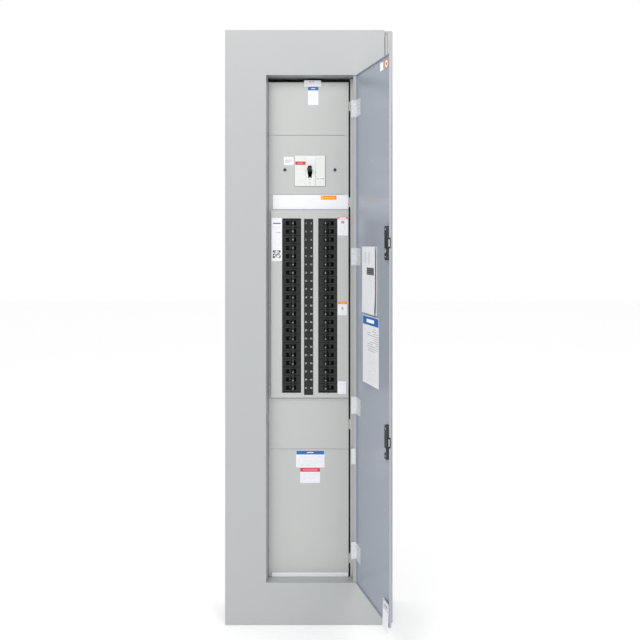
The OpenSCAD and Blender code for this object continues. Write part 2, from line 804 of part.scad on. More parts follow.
// Handle that turns in the cup, on a spindle that ends in a disc on the back of the latch
module latch_handle(z) {
    grip_back = cup_floor - 1.1;
    grip_face = trim_face + 0.4;
    disc_r = 7.6;
    color(moulding) on_door() translate([latch_x, 0, z - handle_drop]) difference() {
        union() {
            rod(0, 0, spindle_r, latch_back + 0.6, grip_back + 0.5);
            rod(0, 0, disc_r, latch_back + 1.2, latch_back + 0.1);
            rod(0, 0, disc_r, cup_floor - 0.1, grip_back);
            frontal(grip_back + 0.5, grip_face) union() {
                rounded(5.6, 15.6, 2.7);
                circle(4.2);
            }
        }
        rod(0, 0, lock_r + pin_clearance, cup_floor + 2.1, grip_face - eps);
    }
}

module latch_bolt(z) {
    color(zinc) on_door() translate([0, 0, z]) difference() {
        block([bolt_tip, bolt_front, -bolt_h / 2], [latch_x + 4, bolt_back, bolt_h / 2]);
        // lead-in on the striking edge
        translate([bolt_tip, bolt_back, 0]) rotate([0, 0, 45]) cube([2.4, 2.4, bolt_h + 2], center = true);
    }
}

// Key cylinder in the middle of the handle, with a keyway
module lock_cylinder(z) {
    lock_face = trim_face + 0.6;
    color(zinc) on_door() translate([latch_x, 0, z - handle_drop]) difference() {
        rod(0, 0, lock_r, cup_floor + 2, lock_face);
        block([-0.4, lock_face - eps, -1.7], [0.4, lock_face + 1.5, 1.7]);
    }
}

module upper_latch_housing() { latch_housing(upper_latch_z); }

module upper_latch_handle() { latch_handle(upper_latch_z); }

module upper_latch_bolt() { latch_bolt(upper_latch_z); }

module upper_lock_cylinder() { lock_cylinder(upper_latch_z); }

module lower_latch_housing() { latch_housing(lower_latch_z); }

module lower_latch_handle() { latch_handle(lower_latch_z); }

module lower_latch_bolt() { latch_bolt(lower_latch_z); }

module lower_lock_cylinder() { lock_cylinder(lower_latch_z); }

enclosure_box();
end_walls();
mouth_frame();
hinge_strip();
trim_hinge_pin();
interior_pan();
interior_studs();
bus_supports();
phase_bus_a();
phase_bus_b();
phase_bus_c();
neutral_bar();
ground_bar();
main_breaker_case();
main_breaker_lugs();
bus_connectors();
deadfront_rails();
deadfront_top_plate();
deadfront_main_plate();
deadfront_label_band();
deadfront_branch_cover();
deadfront_lower_plate();
deadfront_bottom_plate();
deadfront_sill();
deadfront_screws();
circuit_number_strip();
left_breaker_cases();
right_breaker_cases();
trim_cover();
trim_hinge_leaf();
door_hinge_brackets();
door_panel();
door_hinge_leaves();
door_hinge_pins();
directory_frame();
door_tag();
upper_latch_housing();
upper_latch_handle();
upper_latch_bolt();
upper_lock_cylinder();
lower_latch_housing();
lower_latch_handle();
lower_latch_bolt();
lower_lock_cylinder();
main_breaker_handle();
trip_button();
for (side = ["left", "right"], n = [1:7])
    branch_handle(side == "left" ? -1 : 1, n);
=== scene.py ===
import math
import random

import bmesh
import bpy
from mathutils import Matrix, Vector
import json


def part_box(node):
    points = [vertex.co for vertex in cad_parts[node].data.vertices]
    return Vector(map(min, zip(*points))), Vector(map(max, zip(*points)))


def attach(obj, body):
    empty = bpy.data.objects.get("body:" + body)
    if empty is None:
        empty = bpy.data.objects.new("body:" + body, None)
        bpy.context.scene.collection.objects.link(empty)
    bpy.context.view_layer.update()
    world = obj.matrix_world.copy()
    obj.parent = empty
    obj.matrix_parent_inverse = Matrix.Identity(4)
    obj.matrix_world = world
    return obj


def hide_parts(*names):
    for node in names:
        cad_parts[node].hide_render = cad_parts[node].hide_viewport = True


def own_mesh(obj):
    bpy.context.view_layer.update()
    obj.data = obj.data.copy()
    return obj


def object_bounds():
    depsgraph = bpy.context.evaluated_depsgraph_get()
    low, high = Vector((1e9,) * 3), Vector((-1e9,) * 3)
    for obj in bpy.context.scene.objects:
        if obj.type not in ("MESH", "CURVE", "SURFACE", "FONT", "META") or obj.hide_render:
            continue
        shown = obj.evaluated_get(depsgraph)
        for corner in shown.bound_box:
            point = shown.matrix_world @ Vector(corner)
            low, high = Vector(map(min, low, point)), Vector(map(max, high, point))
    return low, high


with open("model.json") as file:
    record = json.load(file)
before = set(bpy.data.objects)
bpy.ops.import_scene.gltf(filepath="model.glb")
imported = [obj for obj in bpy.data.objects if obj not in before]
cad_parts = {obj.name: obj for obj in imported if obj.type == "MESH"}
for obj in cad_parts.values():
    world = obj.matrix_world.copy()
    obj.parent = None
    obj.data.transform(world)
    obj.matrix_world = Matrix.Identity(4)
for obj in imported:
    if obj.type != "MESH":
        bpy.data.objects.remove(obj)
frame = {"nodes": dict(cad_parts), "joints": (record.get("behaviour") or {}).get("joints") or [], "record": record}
cad_low, cad_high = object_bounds()
nodes = frame["nodes"]
joints = {joint["name"]: joint for joint in frame["joints"]}
MM = 0.001

# Sizes in metres.
PRINT_THICKNESS = 0.00015
PLATE_SCREW_X, PLATE_SCREW_Z = 0.0774, 0.483
PLATE_SCREW_RADIUS, PLATE_SCREW_RISE = 0.0047, 0.0028
CIRCUIT_DIGITS, RATING_DIGITS = 0.005, 0.003
PAD_RISE = 0.0002
TAG_BELOW_CAD = 0.0155
GRAIN_HEIGHT = 0.0002
FLOOR_HALF, FLOOR_CLEARANCE = 12, 0.001

# Shares.
GLOSS_SPREAD = 0.06
FLOOR_GLOW = 0.07

# ---------------------------------------------------------------- camera

CAMERA_FROM_CENTRE = Vector((0.251, 0, 0.26))  # to the right of the middle, and above it
CAMERA_DISTANCE = 2.25  # from the face of the trim
LENS = 41.6
SHIFT = (-0.111, -0.122)

trim_face_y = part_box("trim_cover")[0][1]
camera_data = bpy.data.cameras.new("camera")
camera_data.lens = LENS
camera_data.shift_x, camera_data.shift_y = SHIFT
camera = bpy.data.objects.new("camera", camera_data)
camera.location = CAMERA_FROM_CENTRE + Vector((0, trim_face_y - CAMERA_DISTANCE, 0))
camera.rotation_euler = (math.radians(90), 0, 0)
bpy.context.scene.collection.objects.link(camera)
bpy.context.scene.camera = camera
bpy.context.scene.view_settings.view_transform = "Standard"

# ---------------------------------------------------------------- materials


def srgb(r, g, b):
    """An 8-bit colour as linear light."""
    def linear(c):
        c /= 255
        return c / 12.92 if c <= 0.04045 else ((c + 0.055) / 1.055) ** 2.4
    return (linear(r), linear(g), linear(b), 1)


def surface(name, colour, roughness, metallic=0.0, mottle=0.03, mottle_scale=9, grain=0.1, grain_scale=900,
            streak=1):
    """A material with slow colour mottling, uneven gloss and a fine grain in relief."""
    material = bpy.data.materials.new(name)
    material.use_nodes = True
    tree = material.node_tree
    shader = tree.nodes["Principled BSDF"]
    place = tree.nodes.new("ShaderNodeTexCoord")
    stretch = tree.nodes.new("ShaderNodeMapping")
    stretch.inputs["Scale"].default_value = (1, 1, streak)
    tree.links.new(place.outputs["Object"], stretch.inputs["Vector"])

    def noise(scale, detail):
        node = tree.nodes.new("ShaderNodeTexNoise")
        node.inputs["Scale"].default_value = scale
        node.inputs["Detail"].default_value = detail
        tree.links.new(stretch.outputs["Vector"], node.inputs["Vector"])
        return node.outputs["Fac"]

    patches = noise(mottle_scale, 4)
    mix = tree.nodes.new("ShaderNodeMix")
    mix.data_type = "RGBA"
    tree.links.new(patches, mix.inputs["Factor"])
    mix.inputs["A"].default_value = [c * (1 - mottle) for c in colour[:3]] + [1]
    mix.inputs["B"].default_value = [min(1, c * (1 + mottle)) for c in colour[:3]] + [1]
    tree.links.new(mix.outputs["Result"], shader.inputs["Base Color"])

    gloss = tree.nodes.new("ShaderNodeMapRange")
    gloss.inputs["To Min"].default_value = max(0.02, roughness - GLOSS_SPREAD)
    gloss.inputs["To Max"].default_value = min(1, roughness + GLOSS_SPREAD)
    tree.links.new(noise(mottle_scale * 6, 3), gloss.inputs["Value"])
    tree.links.new(gloss.outputs["Result"], shader.inputs["Roughness"])

    bump = tree.nodes.new("ShaderNodeBump")
    bump.inputs["Strength"].default_value = grain
    bump.inputs["Distance"].default_value = GRAIN_HEIGHT
    tree.links.new(noise(grain_scale, 2), bump.inputs["Height"])
    tree.links.new(bump.outputs["Normal"], shader.inputs["Normal"])
    shader.inputs["Metallic"].default_value = metallic
    return material


trim_paint = surface("trim_paint", srgb(166, 168, 168), 0.42, mottle=0.012, grain=0.16, grain_scale=420)
# The dead front's plates wear the trim's grey paint made lighter: painted light that offsets the shade of the
# recess the plates sit in.
plate_paint = surface("plate_paint", srgb(178, 180, 178), 0.45, mottle=0.015, grain=0.16, grain_scale=420)
door_paint = surface("door_paint", srgb(147, 154, 165), 0.24, mottle=0.02, grain=0.12, grain_scale=300)
zinc = surface("zinc_plate", srgb(196, 199, 202), 0.34, metallic=0.85, mottle=0.07, mottle_scale=60,
               grain=0.08)
hinge_metal = surface("hinge_metal", srgb(204, 208, 212), 0.28, metallic=0.4, mottle=0.09, mottle_scale=110)
pan_steel = surface("galvanized_steel", srgb(172, 176, 179), 0.42, metallic=0.7, mottle=0.12, mottle_scale=70)
copper = surface("copper_bar", srgb(196, 122, 84), 0.32, metallic=1.0, mottle=0.1, mottle_scale=25,
                 streak=0.1)
tin = surface("tin_plate", srgb(190, 190, 188), 0.38, metallic=0.9, mottle=0.06, mottle_scale=50)
insulator = surface("bus_insulator", srgb(92, 44, 34), 0.5, mottle=0.08, mottle_scale=40)
moulding = surface("black_moulding", srgb(7, 8, 9), 0.55, mottle=0.08, mottle_scale=50, grain=0.25,
                   grain_scale=2200)
handle_black = surface("handle_black", srgb(20, 21, 23), 0.42, mottle=0.08, mottle_scale=60, grain=0.15,
                       grain_scale=2200)
latch_black = surface("latch_black", srgb(16, 17, 19), 0.4, mottle=0.08, mottle_scale=60, grain=0.2,
                      grain_scale=2000)
white_case = surface("white_case", srgb(214, 216, 213), 0.4, mottle=0.015, mottle_scale=30, grain=0.12,
                     grain_scale=2200)
card_white = surface("card_white", srgb(222, 223, 227), 0.55, mottle=0.012, mottle_scale=40, grain=0.08,
                     grain_scale=3000)
film_white = surface("film_white", srgb(224, 225, 229), 0.25, mottle=0.01, mottle_scale=20, grain=0.05)
ink_grey = surface("ink_grey", srgb(156, 159, 164), 0.55, mottle=0.1, mottle_scale=300)
ink_pale = surface("ink_pale", srgb(204, 206, 211), 0.55, mottle=0.06, mottle_scale=300)
ink_dark = surface("ink_dark", srgb(58, 60, 66), 0.5, mottle=0.1, mottle_scale=300)
ink_blue = surface("ink_blue", srgb(8, 98, 172), 0.45, mottle=0.05, mottle_scale=200)
ink_red = surface("ink_red", srgb(196, 42, 56), 0.42, mottle=0.05, mottle_scale=200)
ink_pink = surface("ink_pink", srgb(226, 120, 138), 0.45, mottle=0.05, mottle_scale=200)
ink_orange = surface("ink_orange", srgb(224, 124, 44), 0.42, mottle=0.05, mottle_scale=200)
ink_yellow = surface("ink_yellow", srgb(232, 176, 70), 0.42, mottle=0.05, mottle_scale=200)
print_white = surface("print_white", srgb(244, 245, 247), 0.5, mottle=0.02, mottle_scale=400)
strip_black = surface("strip_black", srgb(5, 5, 6), 0.6, mottle=0.05, mottle_scale=60, grain=0.1,
                      grain_scale=2200)
digit_grey = surface("digit_grey", srgb(196, 198, 200), 0.5, mottle=0.02, mottle_scale=400)
white_plastic = surface("white_plastic", srgb(206, 208, 206), 0.35, mottle=0.03, mottle_scale=200)
# Zinc for the sill under the dead front, with the shine along the strip painted into its near-white colour: a
# painted sheen on a zinc part.
sill_zinc_painted_sheen = surface("sill_zinc_painted_sheen", srgb(236, 238, 240), 0.3, metallic=0.25, mottle=0.03, mottle_scale=60)

# ---------------------------------------------------------------- CAD nodes

SOFTENED = {  # edge radius, in metres, of each material's parts
    "painted_steel": 0.0009,
    "deadfront_paint": 0.0008,
    "door_paint": 0.0009,
    "zinc_plate": 0.0003,
    "copper_bar": 0.0005,
    "tin_plated_bar": 0.0005,
    "insulator": 0.001,
    "black_moulding": 0.0006,
    "white_plastic": 0.0003,
    "white_card": 0.0002,
}
# The dead front paint slot gets the lightened plate grey, with painted light for the recess.
SLOT_MATERIALS = {
    "painted_steel": trim_paint, "deadfront_paint": plate_paint, "door_paint": door_paint, "zinc_plate": zinc,
    "copper_bar": copper, "tin_plated_bar": tin, "insulator": insulator, "black_moulding": moulding,
    "white_plastic": white_plastic, "white_card": card_white,
}
NODE_MATERIALS = {
    "interior_pan": pan_steel, "main_breaker_case": white_case, "deadfront_label_band": film_white,
    "upper_latch_housing": latch_black, "lower_latch_housing": latch_black,
    "main_breaker_handle": handle_black,
    # The sill's near-white colour is a painted sheen.
    "deadfront_sill": sill_zinc_painted_sheen, "door_hinge_brackets": hinge_metal, "door_hinge_leaves": hinge_metal,
    "circuit_number_strip": strip_black,
}


def soften_edges(node, radius):
    """Rounds a CAD node's sharp edges with modifiers, which leave its own mesh as it is."""
    weld = node.modifiers.new("weld", "WELD")
    weld.merge_threshold = 1e-5
    flat = node.modifiers.new("join_flat_faces", "DECIMATE")
    flat.decimate_type = "DISSOLVE"
    flat.angle_limit = math.radians(1)
    bevel = node.modifiers.new("edges", "BEVEL")
    bevel.width = radius
    bevel.segments = 2
    bevel.limit_method = "ANGLE"
    bevel.angle_limit = math.radians(35)
    bevel.use_clamp_overlap = True
    bevel.harden_normals = False


for part in frame["record"]["subparts"]:
    node = nodes[part["node"]]
    slot = part["material_slot"]
    material = NODE_MATERIALS.get(part["node"], SLOT_MATERIALS[slot])
    if part["node"].startswith("handle_"):
        material = handle_black
    node.data.materials.clear()
    node.data.materials.append(material)
    soften_edges(node, SOFTENED[slot])

# ---------------------------------------------------------------- mesh helpers


def door_turn():
    """The turn that takes what is drawn on the shut door to where the door stands at rest."""
    hinge = joints["door_hinge"]
    pivot = Matrix.Translation(Vector(hinge["pos_m"]))
    angle = -math.radians(hinge["range_deg"][0])
    return pivot @ Matrix.Rotation(angle, 4, Vector(hinge["axis"])) @ pivot.inverted()


DOOR_TURN = door_turn()


def shut_box(name):
    """A door node's lowest and highest corner with the door shut."""
    back = DOOR_TURN.inverted()
    points = [back @ v.co for v in nodes[name].data.vertices]
    low = Vector([min(p[i] for p in points) for i in range(3)])
    high = Vector([max(p[i] for p in points) for i in range(3)])
    return low, high


def rounded_outline(x, z, w, h, r, steps=5):
    """Points of a rectangle with round corners, centred at x, z, counter-clockwise from the front."""
    points = []
    for cx, cz, start in ((1, -1, -90), (1, 1, 0), (-1, 1, 90), (-1, -1, 180)):
        for i in range(steps + 1):
            angle = math.radians(start + 90 * i / steps)
            points.append((x + cx * (w / 2 - r) + r * math.cos(angle),
                           z + cz * (h / 2 - r) + r * math.sin(angle)))
    return points


def round_outline(x, z, r, steps=32):
    return [(x + r * math.cos(2 * math.pi * i / steps), z + r * math.sin(2 * math.pi * i / steps))
            for i in range(steps)]


class Draft:
    """A mesh being built, with a material slot for each material that it uses."""

    def __init__(self):
        self.bm = bmesh.new()
        self.materials = []

    def slot_of(self, material):
        if material not in self.materials:
            self.materials.append(material)
        return self.materials.index(material)

    def prism(self, outline, back, front, material, holes=(), bevel=0.0):
        """An outline in X and Z, solid from one depth to another, with outlines cut out of it."""
        bm = bmesh.new()
        loops = [outline] + list(holes)
        rings = [[bm.verts.new((x, front, z)) for x, z in loop] for loop in loops]
        edges = [bm.edges.new((ring[i], ring[(i + 1) % len(ring)]))
                 for ring in rings for i in range(len(ring))]
        if holes:
            bmesh.ops.triangle_fill(bm, use_beauty=True, edges=edges)
        else:
            bm.faces.new(rings[0])
        faces = bm.faces[:]
        grown = bmesh.ops.extrude_face_region(bm, geom=faces)
        moved = [v for v in grown["geom"] if isinstance(v, bmesh.types.BMVert)]
        bmesh.ops.translate(bm, verts=moved, vec=(0, back - front, 0))
        bmesh.ops.recalc_face_normals(bm, faces=bm.faces[:])
        if bevel:
            bmesh.ops.dissolve_limit(bm, angle_limit=math.radians(1), verts=bm.verts[:], edges=bm.edges[:])
            sharp = [e for e in bm.edges
                     if len(e.link_faces) == 2 and e.calc_face_angle(0) > math.radians(40)]
            bmesh.ops.bevel(bm, geom=sharp, offset=bevel, segments=2, profile=0.6, affect="EDGES")
        self.join(bm, material)

    def join(self, bm, material):
        index = self.slot_of(material)
        for face in bm.faces:
            face.material_index = index
        mesh = bpy.data.meshes.new("part")
        bm.to_mesh(mesh)
        bm.free()
        self.bm.from_mesh(mesh)
        bpy.data.meshes.remove(mesh)

    def block(self, low, high, material, bevel=0.0):
        outline = [(low[0], low[2]), (high[0], low[2]), (high[0], high[2]), (low[0], high[2])]
        self.prism(outline, high[1], low[1], material, bevel=bevel)

    def printed(self, x, z, w, h, face, thickness, base, marks, warp=None):
        """A card whose front is divided into cells, so that each printed mark is a set of its own faces.

        A mark is (left, bottom, right, top, material), in metres from the card's centre. warp(x, z) gives how
        far the card stands off at a point of it."""
        marks = list(marks)
        xs = sorted({-w / 2, w / 2} | {round(m[i], 6) for m in marks for i in (0, 2)})
        zs = sorted({-h / 2, h / 2} | {round(m[i], 6) for m in marks for i in (1, 3)})
        if warp:
            xs = sorted(set(xs) | {-w / 2 + w * i / 8 for i in range(9)})
            zs = sorted(set(zs) | {-h / 2 + h * i / 12 for i in range(13)})
        xs = [v for i, v in enumerate(xs) if i == 0 or v - xs[i - 1] > 2e-5]
        zs = [v for i, v in enumerate(zs) if i == 0 or v - zs[i - 1] > 2e-5]
        away = 1 if thickness > 0 else -1
        self.slot_of(base)

        def depth(u, v):
            return face - away * (warp(u, v) if warp else 0)

        rows = [[[self.bm.verts.new((x + u, depth(u, v) - (thickness if top else 0), z + v)) for u in xs]
                 for v in zs] for top in (0, 1)]
        for j in range(len(zs) - 1):
            for i in range(len(xs) - 1):
                u, v = (xs[i] + xs[i + 1]) / 2, (zs[j] + zs[j + 1]) / 2
                ink = base
                for left, bottom, right, top, material in marks:
                    if left < u < right and bottom < v < top:
                        ink = material
                for level, paint in ((0, base), (1, ink)):
                    r = rows[level]
                    quad = [r[j][i], r[j][i + 1], r[j + 1][i + 1], r[j + 1][i]]
                    made = self.bm.faces.new(quad if level else quad[::-1])
                    made.material_index = self.slot_of(paint)
        rim = [(0, i) for i in range(len(xs))] + [(j, len(xs) - 1) for j in range(1, len(zs))]
        rim += [(len(zs) - 1, i) for i in range(len(xs) - 2, -1, -1)]
        rim += [(j, 0) for j in range(len(zs) - 2, 0, -1)]
        for k in range(len(rim)):
            (j0, i0), (j1, i1) = rim[k], rim[(k + 1) % len(rim)]
            made = self.bm.faces.new([rows[0][j0][i0], rows[0][j1][i1], rows[1][j1][i1], rows[1][j0][i0]])
            made.material_index = self.slot_of(base)

    def finish(self, name, body, on_door=False, smooth=35):
        bmesh.ops.recalc_face_normals(self.bm, faces=self.bm.faces[:])
        mesh = bpy.data.meshes.new(name)
        self.bm.to_mesh(mesh)
        self.bm.free()
        for material in self.materials:
            mesh.materials.append(material)
        if on_door:
            mesh.transform(DOOR_TURN)
        mesh.shade_smooth()
        mesh.set_sharp_from_angle(angle=math.radians(smooth))
        piece = bpy.data.objects.new(name, mesh)
        bpy.context.scene.collection.objects.link(piece)
        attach(piece, body)
        return piece


def text_lines(left, bottom, right, top, count, ink, seed, fill=0.5, columns=18, weight=0.45):
    """Rows of dashes that stand for lines of print and spell nothing."""
    rng = random.Random(seed)
    pitch = (top - bottom) / count
    step = (right - left) / columns
    marks = []
    for row in range(count):
        low = top - (row + 1) * pitch + pitch * (1 - weight) / 2
        start = 0
        last = columns if rng.random() < 0.75 else int(columns * rng.uniform(0.4, 0.9))
        while start < last:
            run = rng.randint(1, 4)
            if rng.random() < fill + 0.35:
                end = min(last, start + run)
                marks.append((left + start * step, low, left + end * step, low + pitch * weight, ink))
            start += run + 1
    return marks


def number(text, x, z, height, face, lift):
    """The mesh data of a printed number, centred at x, z on a face."""
    curve = bpy.data.curves.new("number", "FONT")
    curve.body = text
    curve.size = height * 1.4
    curve.align_x = "CENTER"
    curve.align_y = "CENTER"
    curve.extrude = lift / 2
    curve.offset = height * 0.015
    curve.resolution_u = 2
    holder = bpy.data.objects.new("number", curve)
    bpy.context.scene.collection.objects.link(holder)
    graph = bpy.context.evaluated_depsgraph_get()
    mesh = bpy.data.meshes.new_from_object(holder.evaluated_get(graph))
    bpy.data.objects.remove(holder)
    bpy.data.curves.remove(curve)
    mesh.transform(Matrix.Translation((x, face - lift / 2, z)) @ Matrix.Rotation(math.radians(90), 4, "X"))
    return mesh


def add_numbers(draft, entries, material):
    index = draft.slot_of(material)
    for mesh in entries:
        start = len(draft.bm.faces)
        draft.bm.from_mesh(mesh)
        draft.bm.faces.ensure_lookup_table()
        for face in draft.bm.faces[start:]:
            face.material_index = index
        bpy.data.meshes.remove(mesh)


def front_box(name, depth=0.001, inset=0.0):
    """The corners, in X and Z, of the part of a node that is within a depth of its front."""
    points = [v.co for v in nodes[name].data.vertices]
    front = min(p.y for p in points)
    near = [p for p in points if p.y < front + depth]
    xs = [p.x for p in near]
    zs = [p.z for p in near]
    return min(xs) + inset, min(zs) + inset, max(xs) - inset, max(zs) - inset, front


def sticker(name, x0, z0, x1, z1, face, marks, base=card_white, body="root", thickness=0.0003,
            on_door=False, warp=None):
    """A printed card from corner to corner; corners and marks are in millimetres."""
    w, h = (x1 - x0) * MM, (z1 - z0) * MM
    scaled = [(a * MM - w / 2, b * MM - h / 2, c * MM - w / 2, d * MM - h / 2, ink)
              for a, b, c, d, ink in marks]
    draft = Draft()
    draft.printed((x0 + x1) / 2 * MM, (z0 + z1) / 2 * MM, w, h, face, thickness, base, scaled, warp)
    return draft.finish(name, body, on_door=on_door)


def dot_matrix(left, bottom, size, cells, ink, seed):
    """A square of random cells with a solid corner block in three corners."""
    rng = random.Random(seed)
    step = size / cells
    marks = []
    for j in range(cells):
        for i in range(cells):
            at_side, at_end = i < 3 or i >= cells - 3, j < 3 or j >= cells - 3
            corner = at_side and at_end and not (i >= cells - 3 and j < 3)
            if corner or rng.random() < 0.48:
                x, z = left + i * step, bottom + j * step
                marks.append((x, z, left + (i + 1) * step, bottom + (j + 1) * step, ink))
    return marks


def screw_head(draft, x, z, radius, back, front, material, base=0.45):
    """A pan head with a cross recess; base is the share of its height under the recess."""
    slot = radius * 0.16
    arm = radius * 0.62
    cross = [(slot, slot), (slot, arm), (-slot, arm), (-slot, slot), (-arm, slot), (-arm, -slot),
             (-slot, -slot), (-slot, -arm), (slot, -arm), (slot, -slot), (arm, -slot), (arm, slot)]
    recess = [(x + a, z + b) for a, b in cross]
    ledge = back + (front - back) * base
    draft.prism(round_outline(x, z, radius * 0.98), back, ledge, material, bevel=radius * 0.06)
    draft.prism(round_outline(x, z, radius * 0.86), ledge, front, material, holes=[recess],
                bevel=radius * 0.05)


# ---------------------------------------------------------------- main breaker

def main_breaker_face():
    """White moulded face in three zones, with the handle slot and the trip button's hole."""
    x0, z0, x1, z1, front = front_box("main_breaker_case", inset=0.0009)
    w = x1 - x0
    rise = 0.0011
    gap = 0.0004
    handle = joints["main_handle_throw"]["pos_m"]
    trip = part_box("trip_button")
    trip_x, trip_z = (trip[0][0] + trip[1][0]) / 2, (trip[0][2] + trip[1][2]) / 2
    slot_half, waist, neck = 0.0188, 0.0073, 0.0059
    slot = []
    for side in (1, -1):
        slot += [(side * neck, handle[2] - side * slot_half), (side * neck, handle[2] - side * 0.008),
                 (side * waist, handle[2] - side * 0.005), (side * waist, handle[2] + side * 0.005),
                 (side * neck, handle[2] + side * 0.008), (side * neck, handle[2] + side * slot_half)]
    first, second = x0 + 0.355 * w, x0 + 0.69 * w
    zones = [(x0, first - gap), (first + gap, second - gap), (second + gap, x1)]
    draft = Draft()
    for k, (left, right) in enumerate(zones):
        outline = rounded_outline((left + right) / 2, (z0 + z1) / 2, right - left, z1 - z0, 0.0012)
        holes = [slot, round_outline(trip_x, trip_z, 0.00375, 20)] if k == 1 else []
        draft.prism(outline, front, front - rise, white_case, holes=holes, bevel=0.00025)
    draft.finish("main_breaker_face", "root")

    face = front - rise
    edge = 0.6
    left, right = zones[0]
    lw, lh = (right - left) / MM, (z1 - z0) / MM
    marks = [(1, lh - 29, lw, lh - 18.5, ink_red), (8, lh - 25.5, lw - 8, lh - 22, ink_pink)]
    marks += text_lines(2, 40, lw - 3, 60, 4, ink_pale, 3, weight=0.4)
    marks += text_lines(6, 8, lw - 6, 22, 4, ink_pale, 4, weight=0.5)
    marks += [(1, 36, lw - 1, 36.8, ink_pale), (1, 62, lw - 1, 62.6, ink_pale)]
    sticker("main_breaker_rating_plate", left / MM + edge, z0 / MM + edge, right / MM - edge, z1 / MM - edge,
            face, marks, base=white_case, thickness=PRINT_THICKNESS)
    left, right = zones[2]
    lw = (right - left) / MM
    marks = [(4, lh - 11, 6, lh - 8.5, ink_grey), (12, lh - 11, 14, lh - 8.5, ink_grey)]
    marks += [(3, 20.5, 10, 23, ink_grey), (13, 20.5, 26, 23, ink_grey), (2.5, 10, 28, 10.6, ink_pale)]
    marks += [(0.8, 28 + 13 * i, 1.8, 30 + 13 * i, ink_grey) for i in range(4)]
    sticker("main_breaker_trip_plate", left / MM + edge, z0 / MM + edge, right / MM - edge, z1 / MM - edge,
            face, marks, base=white_case, thickness=PRINT_THICKNESS)
    sticker("main_breaker_off_mark", -2, handle[2] / MM - 24.5, 2, handle[2] / MM - 22.5, face, [],
            base=ink_grey, thickness=0.00012)


def main_plate_details():
    face = front_box("deadfront_main_plate")[4]
    nose = front_box("main_breaker_case")
    left, top = nose[0] / MM, nose[3] / MM
    sticker("main_rating_sticker", left - 33.5, top - 29.5, left - 2.5, top - 4.5, face,
            [(4, 14.6, 27, 16, ink_grey), (4, 11.2, 27, 12.6, ink_grey), (4, 7.8, 18, 9.2, ink_grey)])
    draft = Draft()
    for side in (-1, 1):
        screw_head(draft, side * PLATE_SCREW_X, PLATE_SCREW_Z, PLATE_SCREW_RADIUS, face,
                   face - PLATE_SCREW_RISE, handle_black, base=0.82)
    draft.finish("black_plate_screws", "root")


def band_details():
    x0, z0, x1, z1, face = front_box("deadfront_label_band")
    left, top = x0 / MM, z1 / MM
    sticker("band_caution_label", left + 149, top - 15.5, left + 197, top - 3.5, face,
            [(1.5, 1.5, 7, 10.5, ink_yellow), (9, 4, 44, 8, ink_yellow)], base=ink_orange)
    draft = Draft()
    rail = 0.0013
    for low, high in ((z0, z0 + rail), (z1 - rail, z1)):
        draft.block((x0, face - 0.0009, low), (x1, face, high), film_white, bevel=0.0002)
    for x in (x0 + 0.004, x1 - 0.006):
        draft.block((x, face - 0.0006, z0 + rail), (x + 0.0012, face, z1 - rail), film_white, bevel=0.0002)
    draft.finish("band_card_holder", "root")


def top_plate_details():
    z1, face = front_box("deadfront_top_plate")[3:]
    top = z1 / MM
    sticker("top_hang_card", -18, top - 13, 34, top + 6, face - 0.0004,
            [(15, 13, 22, 16.5, ink_pink), (24, 13, 32, 16.5, ink_grey)]
            + text_lines(3, 2.5, 49, 10.5, 3, ink_pale, 21, columns=20))
    sticker("top_notice_label", -6, top - 70, 26, top - 14, face,
            [(0, 45, 32, 56, ink_blue), (10, 49.6, 22, 51.4, print_white)]
            + text_lines(3, 5, 29, 42, 11, ink_pale, 22, columns=14, weight=0.3))


def branch_cover_labels():
    x0, z0, x1, z1, face = front_box("deadfront_branch_cover")
    left, right, top, bottom = x0 / MM, x1 / MM, z1 / MM, z0 / MM
    sticker("cover_data_label", left + 2.5, top - 158, left + 34.3, top - 25, face,
            [(4, 114.5, 27, 118, ink_blue)]
            + text_lines(3, 98, 28, 108, 3, ink_pale, 32, columns=12)
            + text_lines(13, 82, 27, 90, 2, ink_grey, 33, columns=6, weight=0.6)
            + [(11, 48, 24, 48.6, ink_pale), (11, 78, 24, 78.6, ink_pale), (11, 48, 11.6, 78.6, ink_pale),
               (23.4, 48, 24, 78.6, ink_pale)]
            + dot_matrix(3, 9, 24, 12, ink_dark, 34))
    sticker("cover_hazard_label", right - 33.5, top - 79, right - 1.3, top - 21.5, face,
            [(0, 50, 32.2, 57.5, ink_pink), (6, 52, 26, 55, print_white),
             (11, 37, 21, 45, ink_grey)]
            + text_lines(4, 5, 28, 32, 8, ink_pale, 36, columns=12, weight=0.35))
    sticker("cover_caution_label", right - 32.5, top - 325, right - 4.5, top - 283, face,
            [(0, 34, 28, 42, ink_orange), (7, 36.5, 22, 39.5, ink_yellow), (11, 17, 17, 25, ink_grey)]
            + text_lines(3, 3, 25, 14, 4, ink_pale, 37, columns=10, weight=0.35))
    sticker("cover_rating_label", right - 32.5, bottom + 12, right - 7.5, bottom + 51, face,
            text_lines(4, 26, 21, 35, 2, ink_pale, 38, columns=9, weight=0.3))


def bottom_plate_labels():
    z1, face = front_box("deadfront_bottom_plate")[3:]
    top = z1 / MM
    sticker("bottom_notice_label", -43, top - 56.5, 45, top - 3.5, face,
            [(1, 40, 87, 52, ink_blue), (34, 45, 54, 47.2, print_white)]
            + text_lines(5, 4, 83, 36, 9, ink_pale, 41, columns=30, weight=0.38))
    sticker("bottom_warning_label", -30, top - 104.5, 31, top - 58.5, face,
            [(0, 34.5, 61, 46, ink_red), (8, 38, 53, 42.5, ink_pink)]
            + text_lines(4, 4, 57, 31, 7, ink_pale, 42, columns=24, weight=0.4))


# ---------------------------------------------------------------- branch breakers

def row_height(n, k):
    """Height of a pole: breaker n from the top, pole k of its three."""
    pitch = (joints["left_1_throw"]["pos_m"][2] - joints["left_2_throw"]["pos_m"][2]) / 3
    return joints[f"left_{n}_throw"]["pos_m"][2] + (1 - k) * pitch


